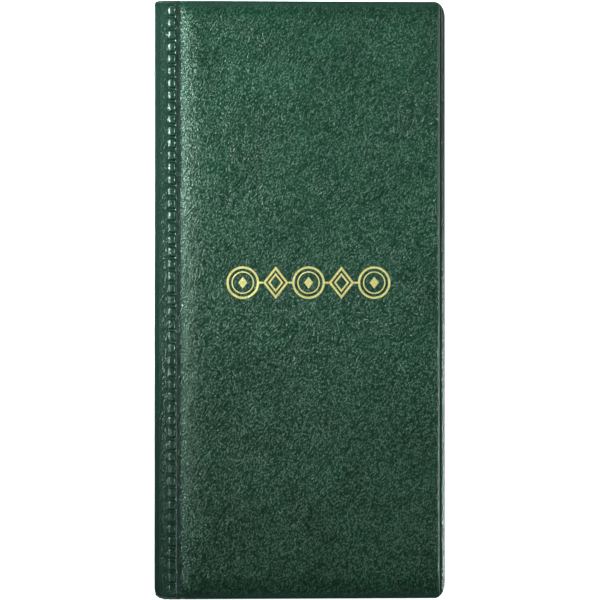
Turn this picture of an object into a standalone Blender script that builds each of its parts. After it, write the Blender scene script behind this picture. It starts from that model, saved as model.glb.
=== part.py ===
"""A padded pocket album for coins, closed and lying on its back cover.

+X runs from the spine to the fore-edge, +Y to the head and +Z up through the thickness. The origin
is under the middle of the album. The front cover mirrors the back cover about the middle of the
thickness, and eight pocket leaves fan out from the spine between them. Each moving body has an
empty on its hinge axis, and its pieces are children of that empty.
"""

import math

import bmesh
import bpy
from mathutils import Vector

MM = 0.001
FRONT, BACK = 1, -1

# Overall size, in millimetres like every length below
WIDTH = 119.0
HEIGHT = 245.0
THICKNESS = 16.4

# Layers of a padded cover, from its outer face inwards
COVER_THICKNESS = 3.8
SKIN = 0.45
BOARD = 1.0
LINING = 0.3
LAYER_GAP = 0.2
FLANGE_DEPTH = COVER_THICKNESS - LINING - LAYER_GAP - SKIN
PANEL_PROFILE = ((0.0, FLANGE_DEPTH), (0.8, 1.2), (2.2, 0.35), (4.5, 0.0))  # inset, depth
FOAM_PROFILE = ((1.3, 2.1), (1.8, 1.45), (2.7, 1.05), (4.7, SKIN + LAYER_GAP))
BOARD_INSET = 1.2

# Widths across the front, from the spine edge to the fore-edge
STRIP_WIDTH = 5.7
BEAD_WIDTH = 3.2
GROOVE_WIDTH = 1.9
FORE_FLANGE = 1.9
END_FLANGE = 1.0
FORE_CORNER_RADIUS = 4.2
PANEL_CORNER_RADIUS = 3.2
STRIP_DEPTH = 1.6
BEAD_DEPTH = 1.2
BEAD_SLOPE = 0.3

# Spine
CORNER_RADIUS = 1.6
HINGE_CLEARANCE = 0.3
SPINE_BOARD = 0.5
SPINE_LINING = 0.25
SPINE_LAYER_GAP = 0.2
TAPE_WIDTH = 1.4
MARGIN_LEFT = -55.9
MARGIN_RIGHT = -50.4

# Pocket leaves
LEAVES = 8
LEAF_PITCH = 1.05
FILM = 0.2
POCKET_GAP = 0.3
LEAF_AXIS_X = -49.6
LEAF_LEFT = -49.3
LEAF_RIGHT = 56.5
LEAF_HEIGHT = 236.0
LEAF_CORNER_RADIUS = 3.0
POCKET_MARGIN = 5.5
POCKET_COLUMNS = 2
POCKET_ROWS = 6
MOUTH_WIDTH = 40.0
MOUTH_HEIGHT = 1.6
MOUTH_BELOW_EDGE = 2.4
THUMB_RADIUS = 7.0

# Foil ornament: coin discs and lozenges in a row, joined by a thin rule
ORNAMENT_CENTRE = (3.5, 7.1)
ORNAMENT_RADIUS = 6.65
ORNAMENT_PITCH = 13.45
LOZENGE_HALF_WIDTH = 5.2
RULE_HALF_HEIGHT = 0.4
FOIL = 0.1
FOIL_GAP = 0.05

CORNER_STEPS = 4
KNUCKLE_STEPS = 14
DISC_STEPS = 12

SPINE_X = -WIDTH / 2
FORE_X = WIDTH / 2
END_Y = HEIGHT / 2
BEAD_LEFT = SPINE_X + STRIP_WIDTH
BEAD_RIGHT = BEAD_LEFT + BEAD_WIDTH
PANEL_LEFT = BEAD_RIGHT + GROOVE_WIDTH
PANEL_RIGHT = FORE_X - FORE_FLANGE
PANEL_END = END_Y - END_FLANGE
AXIS_X = SPINE_X + CORNER_RADIUS
AXIS_DEPTH = STRIP_DEPTH + CORNER_RADIUS
HINGE_REACH = CORNER_RADIUS + HINGE_CLEARANCE
INNER_GAP = THICKNESS - 2 * COVER_THICKNESS
LEAF_THICKNESS = 2 * FILM + POCKET_GAP
DISC_CENTRES = (0.0, 2 * ORNAMENT_PITCH)
STACK_HEIGHT = (LEAVES - 1) * LEAF_PITCH + LEAF_THICKNESS


def clear_scene():
    for obj in list(bpy.data.objects):
        bpy.data.objects.remove(obj)


def collection(name):
    made = bpy.data.collections.new(name)
    bpy.context.scene.collection.children.link(made)
    return made


def material(name, colour, roughness, metallic=0.0, alpha=1.0):
    mat = bpy.data.materials.new(name)
    mat.use_nodes = True
    shader = mat.node_tree.nodes["Principled BSDF"]
    shader.inputs["Base Color"].default_value = (*colour, 1.0)
    shader.inputs["Roughness"].default_value = roughness
    shader.inputs["Metallic"].default_value = metallic
    shader.inputs["Alpha"].default_value = alpha
    return mat


def green_vinyl():
    return material("green_vinyl", (0.035, 0.085, 0.058), 0.42)


def inner_vinyl():
    return material("inner_vinyl", (0.022, 0.05, 0.036), 0.5)


def padding_foam():
    return material("padding_foam", (0.75, 0.73, 0.66), 0.95)


def grey_board():
    return material("grey_board", (0.34, 0.31, 0.27), 0.9)


def clear_film():
    return material("clear_film", (0.82, 0.88, 0.9), 0.15, alpha=0.35)


def gold_foil():
    return material("gold_foil", (0.78, 0.58, 0.2), 0.28, metallic=1.0)


def body_axis(name, point, parent=None):
    """An empty at a point of the album, in millimetres: the origin of one moving body."""
    empty = bpy.data.objects.new(name, None)
    empty["point"] = point
    origin = Vector(parent["point"]) if parent else Vector()
    empty.parent = parent
    empty.location = (Vector(point) - origin) * MM
    PARTS.objects.link(empty)
    return empty


def piece(name, bm, body, mat):
    """Makes an object of a mesh drawn in album millimetres, with its origin at its body's axis."""
    bmesh.ops.translate(bm, vec=-Vector(body["point"]), verts=bm.verts)
    bmesh.ops.scale(bm, vec=(MM, MM, MM), verts=bm.verts)
    mesh = bpy.data.meshes.new(name)
    bm.to_mesh(mesh)
    bm.free()
    mesh.materials.append(mat)
    obj = bpy.data.objects.new(name, mesh)
    obj.parent = body
    PARTS.objects.link(obj)
    return obj


def height(side, depth):
    """The album's Z at a depth under the outer face of the front or the back cover."""
    return THICKNESS - depth if side == FRONT else depth


def rounded_outline(left, right, half_height, left_radius, right_radius):
    """(x, y) points round a rectangle about the X axis, anticlockwise from its lower left corner."""
    corners = (
        (left + left_radius, left_radius - half_height, left_radius, 180),
        (right - right_radius, right_radius - half_height, right_radius, 270),
        (right - right_radius, half_height - right_radius, right_radius, 0),
        (left + left_radius, half_height - left_radius, left_radius, 90),
    )
    points = []
    for centre_x, centre_y, radius, start in corners:
        for step in range(CORNER_STEPS + 1):
            angle = math.radians(start + 90 * step / CORNER_STEPS)
            points.append((centre_x + radius * math.cos(angle), centre_y + radius * math.sin(angle)))
    return points


def panel_outline(inset):
    radius = max(PANEL_CORNER_RADIUS - 0.5 * inset, 0.8)
    return rounded_outline(
        PANEL_LEFT + inset, PANEL_RIGHT - inset, PANEL_END - inset, radius, radius
    )


def add_loop(bm, outline, z):
    return [bm.verts.new((x, y, z)) for x, y in outline]


def join_loops(bm, outer, inner):
    count = len(outer)
    for i in range(count):
        j = (i + 1) % count
        bm.faces.new((outer[i], outer[j], inner[j], inner[i]))


def plate(outline, low, high):
    """A closed flat plate over an (x, y) outline."""
    bm = bmesh.new()
    face = bm.faces.new(add_loop(bm, outline, low))
    raised = bmesh.ops.extrude_face_region(bm, geom=[face])["geom"]
    moved = [g for g in raised if isinstance(g, bmesh.types.BMVert)]
    bmesh.ops.translate(bm, vec=(0, 0, high - low), verts=moved)
    bmesh.ops.recalc_face_normals(bm, faces=bm.faces)
    return bm


def layer(side, outline, outer_depth, inner_depth):
    heights = sorted((height(side, outer_depth), height(side, inner_depth)))
    return plate(outline, *heights)


def strip_profile():
    """(x, depth) from the groove over the bead to the hinge end of the strip."""
    return (
        (BEAD_RIGHT, FLANGE_DEPTH),
        (BEAD_RIGHT - BEAD_SLOPE, BEAD_DEPTH),
        (BEAD_LEFT + BEAD_SLOPE, BEAD_DEPTH),
        (BEAD_LEFT, STRIP_DEPTH),
        (AXIS_X + CORNER_RADIUS, STRIP_DEPTH),
    )


def add_strip(bm, side):
    """The bead and the hinge strip, from the groove to the spine corner."""
    rows = [
        add_loop(bm, ((x, -END_Y), (x, END_Y)), height(side, depth))
        for x, depth in strip_profile()
    ]
    for near, far in zip(rows, rows[1:]):
        bm.faces.new((near[0], near[1], far[1], far[0]))


def cover_skin(side, name, body, mat):
    """The vinyl over one cover: flange, padded panel, groove, bead and hinge strip in one sheet."""
    bm = bmesh.new()
    flange = rounded_outline(BEAD_RIGHT, FORE_X, END_Y, 0.0, FORE_CORNER_RADIUS)
    loops = [add_loop(bm, flange, height(side, FLANGE_DEPTH))]
    loops += [add_loop(bm, panel_outline(d), height(side, h)) for d, h in PANEL_PROFILE]
    for outer, inner in zip(loops, loops[1:]):
        join_loops(bm, outer, inner)
    bm.faces.new(loops[-1])
    add_strip(bm, side)
    bmesh.ops.remove_doubles(bm, verts=bm.verts, dist=0.001)
    bmesh.ops.recalc_face_normals(bm, faces=bm.faces)
    top = max(bm.faces, key=lambda face: face.calc_area())
    if top.normal.z * side < 0:
        bmesh.ops.reverse_faces(bm, faces=bm.faces)
    obj = piece(name, bm, body, mat)
    shell = obj.modifiers.new("skin_thickness", "SOLIDIFY")
    shell.thickness = SKIN * MM
    shell.offset = -1.0
    shell.use_even_offset = True


def foam_pad(side, name, body, mat):
    bm = bmesh.new()
    loops = [add_loop(bm, panel_outline(d), height(side, h)) for d, h in FOAM_PROFILE]
    for outer, inner in zip(loops, loops[1:]):
        join_loops(bm, outer, inner)
    bm.faces.new(loops[0])
    bm.faces.new(loops[-1])
    bmesh.ops.recalc_face_normals(bm, faces=bm.faces)
    piece(name, bm, body, mat)


def cover_board(side, name, body, mat):
    inner_depth = COVER_THICKNESS - LINING - LAYER_GAP
    outline = panel_outline(BOARD_INSET)
    piece(name, layer(side, outline, inner_depth - BOARD, inner_depth), body, mat)


def cover_lining(side, name, body, mat):
    outline = rounded_outline(AXIS_X + HINGE_REACH, FORE_X, END_Y, 0.0, FORE_CORNER_RADIUS)
    bm = layer(side, outline, COVER_THICKNESS - LINING, COVER_THICKNESS)
    bmesh.ops.remove_doubles(bm, verts=bm.verts, dist=0.001)
    piece(name, bm, body, mat)


def padded_cover(side, name, body):
    cover_skin(side, f"{name}_skin", body, green_vinyl())
    foam_pad(side, f"{name}_foam_pad", body, padding_foam())
    cover_board(side, f"{name}_board", body, grey_board())
    cover_lining(side, f"{name}_lining", body, inner_vinyl())


def ornament_half_height(x):
    """Half the height of the row of discs and lozenges at a distance x from its middle."""
    x = abs(x)
    discs = [math.sqrt(max(ORNAMENT_RADIUS**2 - (x - c) ** 2, 0)) for c in DISC_CENTRES]
    lozenge = ORNAMENT_RADIUS * (1 - abs(x - ORNAMENT_PITCH) / LOZENGE_HALF_WIDTH)
    return max(RULE_HALF_HEIGHT, lozenge, *discs)


def ornament_stations():
    """The distances from the middle where the ornament's outline needs a point."""
    cut = math.asin(RULE_HALF_HEIGHT / ORNAMENT_RADIUS)
    stations = set()
    for step in range(DISC_STEPS + 1):
        reach = ORNAMENT_RADIUS * math.cos(cut + (math.pi - 2 * cut) * step / DISC_STEPS)
        stations |= {centre + reach for centre in DISC_CENTRES}
    reach = LOZENGE_HALF_WIDTH * (1 - RULE_HALF_HEIGHT / ORNAMENT_RADIUS)
    stations |= {ORNAMENT_PITCH + side * reach for side in (-1, 0, 1)}
    return sorted({round(abs(x), 4) for x in stations if x > -0.001})


def foil_ornament(body):
    """A generic row of coin discs and lozenges, hot-stamped on the front panel."""
    right = ornament_stations()
    stations = [-x for x in reversed(right[1:])] + right
    centre_x, centre_y = ORNAMENT_CENTRE
    lower = [(centre_x + x, centre_y - ornament_half_height(x)) for x in stations]
    upper = [(centre_x + x, centre_y + ornament_half_height(x)) for x in reversed(stations)]
    bm = plate(lower + upper, THICKNESS + FOIL_GAP, THICKNESS + FOIL_GAP + FOIL)
    piece("front_cover_foil_ornament", bm, body, gold_foil())


def spine_section():
    """(x, z) round the spine skin: a thin web with a round knuckle on each corner's axis."""
    inner = math.degrees(math.acos((CORNER_RADIUS - SKIN) / CORNER_RADIUS))
    sweep = 360 - inner
    arc = [math.radians(180 - sweep * step / KNUCKLE_STEPS) for step in range(KNUCKLE_STEPS + 1)]
    top_z = THICKNESS - AXIS_DEPTH
    round_top = [
        (AXIS_X + CORNER_RADIUS * math.cos(a), top_z + CORNER_RADIUS * math.sin(a)) for a in arc
    ]
    round_bottom = [(x, THICKNESS - z) for x, z in reversed(round_top)]
    return round_top + round_bottom


def spine_skin(body):
    """The vinyl round the spine, from the back corner to the front corner."""
    bm = bmesh.new()
    face = bm.faces.new([bm.verts.new((x, -END_Y, z)) for x, z in spine_section()])
    far = bmesh.ops.extrude_face_region(bm, geom=[face])["geom"]
    moved = [g for g in far if isinstance(g, bmesh.types.BMVert)]
    bmesh.ops.translate(bm, vec=(0, HEIGHT, 0), verts=moved)
    bmesh.ops.recalc_face_normals(bm, faces=bm.faces)
    piece("spine_skin", bm, body, green_vinyl())


def upright(left, thickness, end_gap, length):
    """A plate standing along the spine between its two knuckles."""
    low = AXIS_DEPTH + HINGE_REACH + end_gap
    outline = rounded_outline(left, left + thickness, length / 2, 0.0, 0.0)
    bm = plate(outline, low, THICKNESS - low)
    bmesh.ops.remove_doubles(bm, verts=bm.verts, dist=0.001)
    return bm


def spine_layers(body):
    board_left = SPINE_X + SKIN + SPINE_LAYER_GAP
    lining_left = board_left + SPINE_BOARD + SPINE_LAYER_GAP
    tape_left = lining_left + SPINE_LINING + SPINE_LAYER_GAP
    board = upright(board_left, SPINE_BOARD, 0.3, HEIGHT - 5)
    piece("spine_board", board, body, grey_board())
    lining = upright(lining_left, SPINE_LINING, 0.0, HEIGHT - 3)
    piece("spine_lining", lining, body, inner_vinyl())
    tape = upright(tape_left, TAPE_WIDTH, 0.2, LEAF_HEIGHT)
    piece("leaf_binding_tape", tape, body, inner_vinyl())


def welded_margins(body):
    """The fused left margins of all eight leaves, one solid bar beside the spine."""
    outline = rounded_outline(MARGIN_LEFT, MARGIN_RIGHT, LEAF_HEIGHT / 2, 0.0, 0.0)
    low = COVER_THICKNESS + 0.35
    bm = plate(outline, low, THICKNESS - low)
    bmesh.ops.remove_doubles(bm, verts=bm.verts, dist=0.001)
    piece("leaf_welded_margins", bm, body, clear_film())


def pocket_centres():
    """(x, y) of the middle of each pocket's top edge."""
    left = LEAF_LEFT + POCKET_MARGIN
    pitch_x = (LEAF_RIGHT - left) / POCKET_COLUMNS
    pitch_y = LEAF_HEIGHT / POCKET_ROWS
    for column in range(POCKET_COLUMNS):
        for row in range(POCKET_ROWS):
            yield left + pitch_x * (column + 0.5), LEAF_HEIGHT / 2 - pitch_y * row


def mouth_outline(centre_x, top_y):
    """A pocket's slot with the half-round thumb notch below its middle."""
    high = top_y - MOUTH_BELOW_EDGE
    low = high - MOUTH_HEIGHT
    half = MOUTH_WIDTH / 2
    steps = 6
    notch = [
        (
            centre_x - THUMB_RADIUS * math.cos(math.pi * k / steps),
            low - THUMB_RADIUS * math.sin(math.pi * k / steps),
        )
        for k in range(steps + 1)
    ]
    return [
        (centre_x - half, low),
        *notch,
        (centre_x + half, low),
        (centre_x + half, high),
        (centre_x - half, high),
    ]


def mouth_cutter():
    """All twelve pocket mouths as one cutter through the whole stack of leaves."""
    whole = bpy.data.meshes.new("pocket_mouths")
    bm = bmesh.new()
    for centre_x, top_y in pocket_centres():
        one = plate(mouth_outline(centre_x, top_y), 1.0, THICKNESS - 1.0)
        spare = bpy.data.meshes.new("mouth")
        one.to_mesh(spare)
        one.free()
        bm.from_mesh(spare)
        bpy.data.meshes.remove(spare)
    bmesh.ops.scale(bm, vec=(MM, MM, MM), verts=bm.verts)
    bm.to_mesh(whole)
    bm.free()
    cutter = bpy.data.objects.new("pocket_mouth_cutter", whole)
    cutter.hide_render = True
    cutter.display_type = "WIRE"
    CUTS.objects.link(cutter)
    return cutter


def leaf_base(number):
    """The Z of the underside of a leaf; leaf 1 lies under the front cover."""
    lowest = COVER_THICKNESS + (INNER_GAP - STACK_HEIGHT) / 2
    return lowest + (LEAVES - number) * LEAF_PITCH


def pocket_leaf(number, body, cutter):
    """A backing film, and over it the film that makes two columns of six pockets."""
    base = leaf_base(number)
    half = LEAF_HEIGHT / 2
    back = rounded_outline(LEAF_LEFT, LEAF_RIGHT, half, 0.0, LEAF_CORNER_RADIUS)
    backing = plate(back, base, base + FILM)
    bmesh.ops.remove_doubles(backing, verts=backing.verts, dist=0.001)
    piece(f"leaf_{number}_backing_film", backing, body, clear_film())
    front = rounded_outline(
        LEAF_LEFT + POCKET_MARGIN, LEAF_RIGHT, half, 0.0, LEAF_CORNER_RADIUS
    )
    top = base + LEAF_THICKNESS
    pockets = plate(front, top - FILM, top)
    bmesh.ops.remove_doubles(pockets, verts=pockets.verts, dist=0.001)
    film = piece(f"leaf_{number}_pocket_film", pockets, body, clear_film())
    cut = film.modifiers.new("pocket_mouths", "BOOLEAN")
    cut.operation = "DIFFERENCE"
    cut.object = cutter


def build():
    back = body_axis("back_cover", (0.0, 0.0, 0.0))
    spine = body_axis("spine", (AXIS_X, 0.0, AXIS_DEPTH), back)
    front = body_axis("front_cover", (AXIS_X, 0.0, THICKNESS - AXIS_DEPTH), spine)
    padded_cover(BACK, "back_cover", back)
    padded_cover(FRONT, "front_cover", front)
    foil_ornament(front)
    spine_skin(spine)
    spine_layers(spine)
    welded_margins(spine)
    cutter = mouth_cutter()
    for number in range(1, LEAVES + 1):
        point = (LEAF_AXIS_X, 0.0, leaf_base(number) + FILM / 2)
        pocket_leaf(number, body_axis(f"leaf_{number}", point, spine), cutter)


clear_scene()
PARTS = collection("coin_album")
CUTS = collection("cutters")
build()
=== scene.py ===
import math

import bmesh
import bpy
import numpy as np
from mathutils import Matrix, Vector


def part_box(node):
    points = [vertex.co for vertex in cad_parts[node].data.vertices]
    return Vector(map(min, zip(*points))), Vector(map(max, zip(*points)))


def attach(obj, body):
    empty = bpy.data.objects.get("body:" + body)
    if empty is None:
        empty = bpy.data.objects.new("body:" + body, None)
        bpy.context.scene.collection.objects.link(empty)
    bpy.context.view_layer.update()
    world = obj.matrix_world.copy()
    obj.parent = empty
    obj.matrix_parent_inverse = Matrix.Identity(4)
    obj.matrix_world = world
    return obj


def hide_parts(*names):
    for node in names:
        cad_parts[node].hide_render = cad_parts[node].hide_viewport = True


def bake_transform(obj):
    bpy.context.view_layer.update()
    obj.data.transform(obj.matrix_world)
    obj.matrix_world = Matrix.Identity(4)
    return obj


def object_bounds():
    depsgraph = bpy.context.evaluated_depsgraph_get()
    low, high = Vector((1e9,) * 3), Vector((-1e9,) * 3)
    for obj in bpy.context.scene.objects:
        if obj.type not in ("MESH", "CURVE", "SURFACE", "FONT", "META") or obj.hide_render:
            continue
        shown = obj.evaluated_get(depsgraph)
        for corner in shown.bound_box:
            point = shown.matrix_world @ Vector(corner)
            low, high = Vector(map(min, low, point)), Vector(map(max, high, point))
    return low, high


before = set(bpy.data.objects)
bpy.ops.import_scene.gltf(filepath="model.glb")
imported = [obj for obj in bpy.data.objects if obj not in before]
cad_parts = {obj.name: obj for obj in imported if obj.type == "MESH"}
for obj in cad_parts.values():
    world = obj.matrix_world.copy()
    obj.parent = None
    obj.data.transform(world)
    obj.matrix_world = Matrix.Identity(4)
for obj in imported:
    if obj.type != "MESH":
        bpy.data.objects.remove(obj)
CAD_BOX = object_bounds()

# A padded coin album, closed, seen from above. Lengths are in millimetres until a mesh is made.
MM = 0.001


def box_mm(node):
    """Lowest and highest corner of a CAD node, in millimetres."""
    low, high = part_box(node)
    return np.array(low) / MM, np.array(high) / MM


# Places read from the frame
SKIN_LOW, SKIN_HIGH = box_mm("front_cover_skin")
SPINE_X = box_mm("spine_skin")[0][0]
FORE_PAST_CAD = 0.2
FORE_X = SKIN_HIGH[0] + FORE_PAST_CAD
END_Y = SKIN_HIGH[1]
TOP_Z = SKIN_HIGH[2]
MID_Z = TOP_Z / 2
SKIN = 0.45
FLANGE_Z = SKIN_LOW[2] + SKIN
STRIP_BELOW_TOP = 1.6
STRIP_Z = TOP_Z - STRIP_BELOW_TOP

# Widths across the cover, as in the CAD model
STRIP_WIDTH = 5.7
BEAD_WIDTH = 3.2
GROOVE_WIDTH = 1.9
FORE_FLANGE = 2.1
END_FLANGE = 0.65
BEAD_LEFT = SPINE_X + STRIP_WIDTH
BEAD_RIGHT = BEAD_LEFT + BEAD_WIDTH
PANEL_LEFT = BEAD_RIGHT + GROOVE_WIDTH
PANEL_RIGHT = FORE_X - FORE_FLANGE
PANEL_END = END_Y - END_FLANGE
PANEL_RADIUS = 3.2
PANEL_EDGE = 12.0
PANEL_EDGE_POWER = 3.6
FORE_PANEL_EDGE = 1.8
FORE_FOOT = 0.5
FORE_SHOULDER = 0.33
HEAD_PANEL_EDGE = 5.5
TAIL_PANEL_EDGE = 8.0
HEAD_EDGE_POWER = 1.35
TAIL_EDGE_POWER = 1.5
FLANGE_RISE = 0.3
FLANGE_TOP = FLANGE_Z + FLANGE_RISE
FLANGE_DROP = 0.85
FLANGE_FLAT = 0.5
FLANGE_POWER = 1.15
GROOVE_DEPTH = 0.45
GROOVE_Z = STRIP_Z - GROOVE_DEPTH
FOOT_FADE = 8
LINING_TOP = box_mm("front_cover_lining")[1][2]

# Round corners: width across the cover and length along it
SPINE_ROUND = 0.45
FORE_CORNER = (4.2, 6.4)
HEAD_CORNER = (4.5, 0.9)
TAIL_CORNER = (5.2, 3.0)
CORNER_BAND = 10.0
RIM_ROUND = 0.15
END_WELD = 0.5
END_ROUND = 1.8
WEB_PINCH = 0.25

# Foam pads
PAD_GAP = 0.15
PAD_CORNER = 6.0
PAD_EASE = 4.0
PAD_ROUND = 4.2
PAD_CLEAR = 0.08

# The welded bead, a row of raised dashes
DASHES = 49
DASH_ENDS = 1.75
DASH_PITCH = 2 * (END_Y - DASH_ENDS) / DASHES
DASH_LENGTH = 3.85
DASH_BEVEL = 0.62
DASH_HEIGHT = 0.42
DASH_RADIUS = 0.75
DASH_INSET = 0.06
DASH_PHASES = (0.0, 0.07, 0.13, 0.2, 0.35, 0.5, 0.65, 0.8, 0.87, 0.93)
END_ROWS = (0.0, 0.12, 0.35, 0.6, 0.75, 1.05, 1.4)
UNDERSIDE_STEP = 4

# Lining: columns and rows near its edge, and where the even ones stop
LINING_ROUND = 1.4
LINING_EDGE = np.array([0.0, 0.4, 0.8, 1.0, 1.2, 1.6, 2.2, 3.2])
LINING_EVEN_X = FORE_X - 3.8
LINING_EVEN_Y = END_Y - 4.5

# Pocket leaves
LEAVES = 8
POCKET_COLUMNS = 2
POCKET_ROWS = 6
MOUTH_WIDTH = 40.0
MOUTH_HEIGHT = 1.6
MOUTH_BELOW_EDGE = 2.4
THUMB_RADIUS = 7.0
FILM = 0.2
LEAF_CORNER = 3.0
LEAF_RIM = 3
LEAF_IN_MARGIN = 1.6
POCKET_WELD = 0.75
POCKET_ROUND = 5
UV_ASIDE = 100

# Foil ornament
COIN_RADIUS = 6.65
COIN_RINGS = ((5.75, COIN_RADIUS), (4.1, 4.6))
COIN_STEPS = 72
LOZENGE_HALF_WIDTH = 5.2
LOZENGE_BANDS = ((0.78, 1.0), (0.42, 0.6))
COIN_LOZENGE = (0.02, 0.36)
RULE_HALF_HEIGHT = 0.4
FOIL_ABOVE = 0.05
FOIL_BELOW = 0.03

# Grain: its turn in degrees and the size of a pebble
GRAIN_TURN = 30
PEBBLE = 0.5
GRAIN_LEVEL = 0.6
WRINKLES = ((22, 5, 0.085), (48, 9, 0.07))
NOISE_SIZE = 64

# Camera, world and lights, in metres
CAMERA_HEIGHT = 1.0
FRAME_WIDTH = 0.2451
CAMERA_LEFT = 0.038
SENSOR = 36.0
WORLD_BY_HEIGHT = ((0.0, 0.97), (0.06, 0.9), (0.15, 0.14), (0.8, 0.12), (0.96, 0.2), (1.0, 0.25))
WORLD_TINT = (0.96, 1.0, 0.99, 1.0)
FLOOR_HALF = 6.0
FLOOR_GLOW = 0.82

# Name, place, target, size, watts, colour and spread in degrees
LIGHTS = (
    ("key_left", (-0.45, 0.14, 0.31), (-0.02, 0.12, 0.016), (0.22, 0.18), 1.0, (0.80, 1.0, 0.91), 56),
    ("low_left", (-0.60, -0.14, 0.17), (-0.05, -0.05, 0.016), (0.2, 0.05), 0.85, (0.82, 1.0, 0.92), 180),
    ("fill_right", (0.50, 0.26, 0.42), (0.02, 0.04, 0.016), (0.2, 0.2), 0.8, (0.85, 1.0, 0.94), 180),
    ("low_right", (0.74, -0.13, 0.30), (0.05, -0.06, 0.014), (0.26, 0.05), 3.4, (0.76, 1.0, 0.91), 180),
    ("overhead", (0, 0.24, 1.3), (0, 0, 0), (0.8, 0.5), 0.8, (0.85, 1.0, 0.94), 180),
)


def smoothstep(low, high, value):
    t = np.clip((value - low) / (high - low), 0, 1)
    return t * t * (3 - 2 * t)


def quarter_round(t):
    """Rises from 0 to 1 as a quarter of an ellipse does."""
    return np.sqrt(1 - (1 - np.clip(t, 0, 1)) ** 2)


def bump(value, centre, width):
    return np.exp(-(((value - centre) / width) ** 2))


def turned(x, y, degrees):
    """x and y in axes turned by that angle."""
    c, s = math.cos(math.radians(degrees)), math.sin(math.radians(degrees))
    return x * c + y * s, y * c - x * s


def smooth_noise(x, y, cell, seed):
    """Smooth values from -1 to 1, from a random lattice of that cell."""
    lattice = np.random.default_rng(seed).uniform(-1, 1, (NOISE_SIZE, NOISE_SIZE))
    x, y = turned(x, y, 37 * seed)
    u, v = x / cell, y / cell
    i, j = np.floor(u).astype(int), np.floor(v).astype(int)
    fu, fv = smoothstep(0, 1, u - i), smoothstep(0, 1, v - j)

    def at(a, b):
        return lattice[(i + a) % NOISE_SIZE, (j + b) % NOISE_SIZE]

    near = at(0, 0) * (1 - fu) + at(1, 0) * fu
    far = at(0, 1) * (1 - fu) + at(1, 1) * fu
    return near * (1 - fv) + far * fv


def inside_distance(x, y, half_x, half_y, radius):
    """Distance inside a rounded rectangle about the origin, negative outside it."""
    qx, qy = np.abs(x) - (half_x - radius), np.abs(y) - (half_y - radius)
    outside = np.hypot(np.maximum(qx, 0), np.maximum(qy, 0))
    return radius - outside - np.minimum(np.maximum(qx, qy), 0)


def corner_drop(distance, size):
    """How far a round corner of that width and length cuts the outline back, so far from its side."""
    width, length = size
    return length * (1 - quarter_round(distance / width))


def spaced(*stretches):
    """Positions through the stretches (start, stop, count), ending with the last stop."""
    parts = [np.linspace(a, b, n, endpoint=False) for a, b, n in stretches]
    return np.concatenate([*parts, [stretches[-1][1]]])


def spread(rows, ends, band):
    """y of every row at every column. Near its ends a column is squeezed to its own length."""
    low_end, high_end = ends
    y = np.repeat(np.asarray(rows, float)[:, None], len(low_end), 1)
    full = abs(rows[0])
    inner = full - band
    for sign, end in ((-1, low_end), (1, high_end)):
        over = sign * y - inner
        y = np.where(over > 0, sign * (inner + over * (end - inner) / band), y)
    return y


# Meshes


def grid_faces(rows, cols, first=0):
    index = first + np.arange(rows * cols).reshape(rows, cols)
    quads = [index[:-1, :-1], index[:-1, 1:], index[1:, 1:], index[1:, :-1]]
    return np.stack(quads, -1).reshape(-1, 4)


def rim_faces(rows, cols, step):
    """Faces that close the edge between a fine upper grid and a lower one with every step-th line."""
    upper = np.arange(rows * cols).reshape(rows, cols)
    low_shape = ((rows - 1) // step + 1, (cols - 1) // step + 1)
    lower = rows * cols + np.arange(low_shape[0] * low_shape[1]).reshape(low_shape)
    sides = (
        (upper[0], lower[0]),
        (upper[:, -1], lower[:, -1]),
        (upper[-1, ::-1], lower[-1, ::-1]),
        (upper[::-1, 0], lower[::-1, 0]),
    )
    faces = []
    for high, low in sides:
        for k in range(len(low) - 1):
            above = high[k * step : (k + 1) * step + 1]
            faces.append([int(low[k]), int(low[k + 1]), *above[::-1].tolist()])
    return faces


def new_piece(name, points, faces, uv=None, marks=None, mirrored=False, sharp_deg=50):
    """A mesh object from points in millimetres. A mirrored piece is turned over about the middle."""
    points = np.array(points, float)
    if mirrored:
        points[:, 2] = TOP_Z - points[:, 2]
        faces = [f[::-1] for f in faces]
    mesh = bpy.data.meshes.new(name)
    mesh.from_pydata((points * MM).tolist(), [], faces)
    if uv is not None:
        corner = np.zeros(len(mesh.loops), np.int32)
        mesh.loops.foreach_get("vertex_index", corner)
        layer = mesh.uv_layers.new(name="sheet")
        layer.data.foreach_set("uv", (np.asarray(uv) * MM)[corner].ravel())
    for mark, values in (marks or {}).items():
        attribute = mesh.attributes.new(mark, "FLOAT", "POINT")
        attribute.data.foreach_set("value", np.asarray(values, np.float32))
    mesh.validate()
    mesh.shade_smooth()
    mesh.set_sharp_from_angle(angle=math.radians(sharp_deg))
    piece = bpy.data.objects.new(name, mesh)
    bpy.context.scene.collection.objects.link(piece)
    return piece


def closed_sheet(name, upper, lower, step, along, marks=None, mirrored=False):
    """A closed sheet between an upper grid and a coarser lower one. along is each column's length."""
    rows, cols = upper.shape[:2]
    low_rows, low_cols = lower.shape[:2]
    points = np.concatenate([upper.reshape(-1, 3), lower.reshape(-1, 3)])
    faces = grid_faces(rows, cols).tolist()
    faces += grid_faces(low_rows, low_cols, rows * cols)[:, ::-1].tolist()
    faces += rim_faces(rows, cols, step)
    high_uv = np.stack([np.broadcast_to(along, (rows, cols)), upper[:, :, 1]], -1)
    low_uv = high_uv[::step, ::step]
    uv = np.concatenate([high_uv.reshape(-1, 2), low_uv.reshape(-1, 2)])
    full_marks = {}
    for mark, values in (marks or {}).items():
        full_marks[mark] = np.concatenate([values.ravel(), values[::step, ::step].ravel()])
    return new_piece(name, points, faces, uv, full_marks, mirrored)


# Outer skin of a cover, with half of the spine


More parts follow.
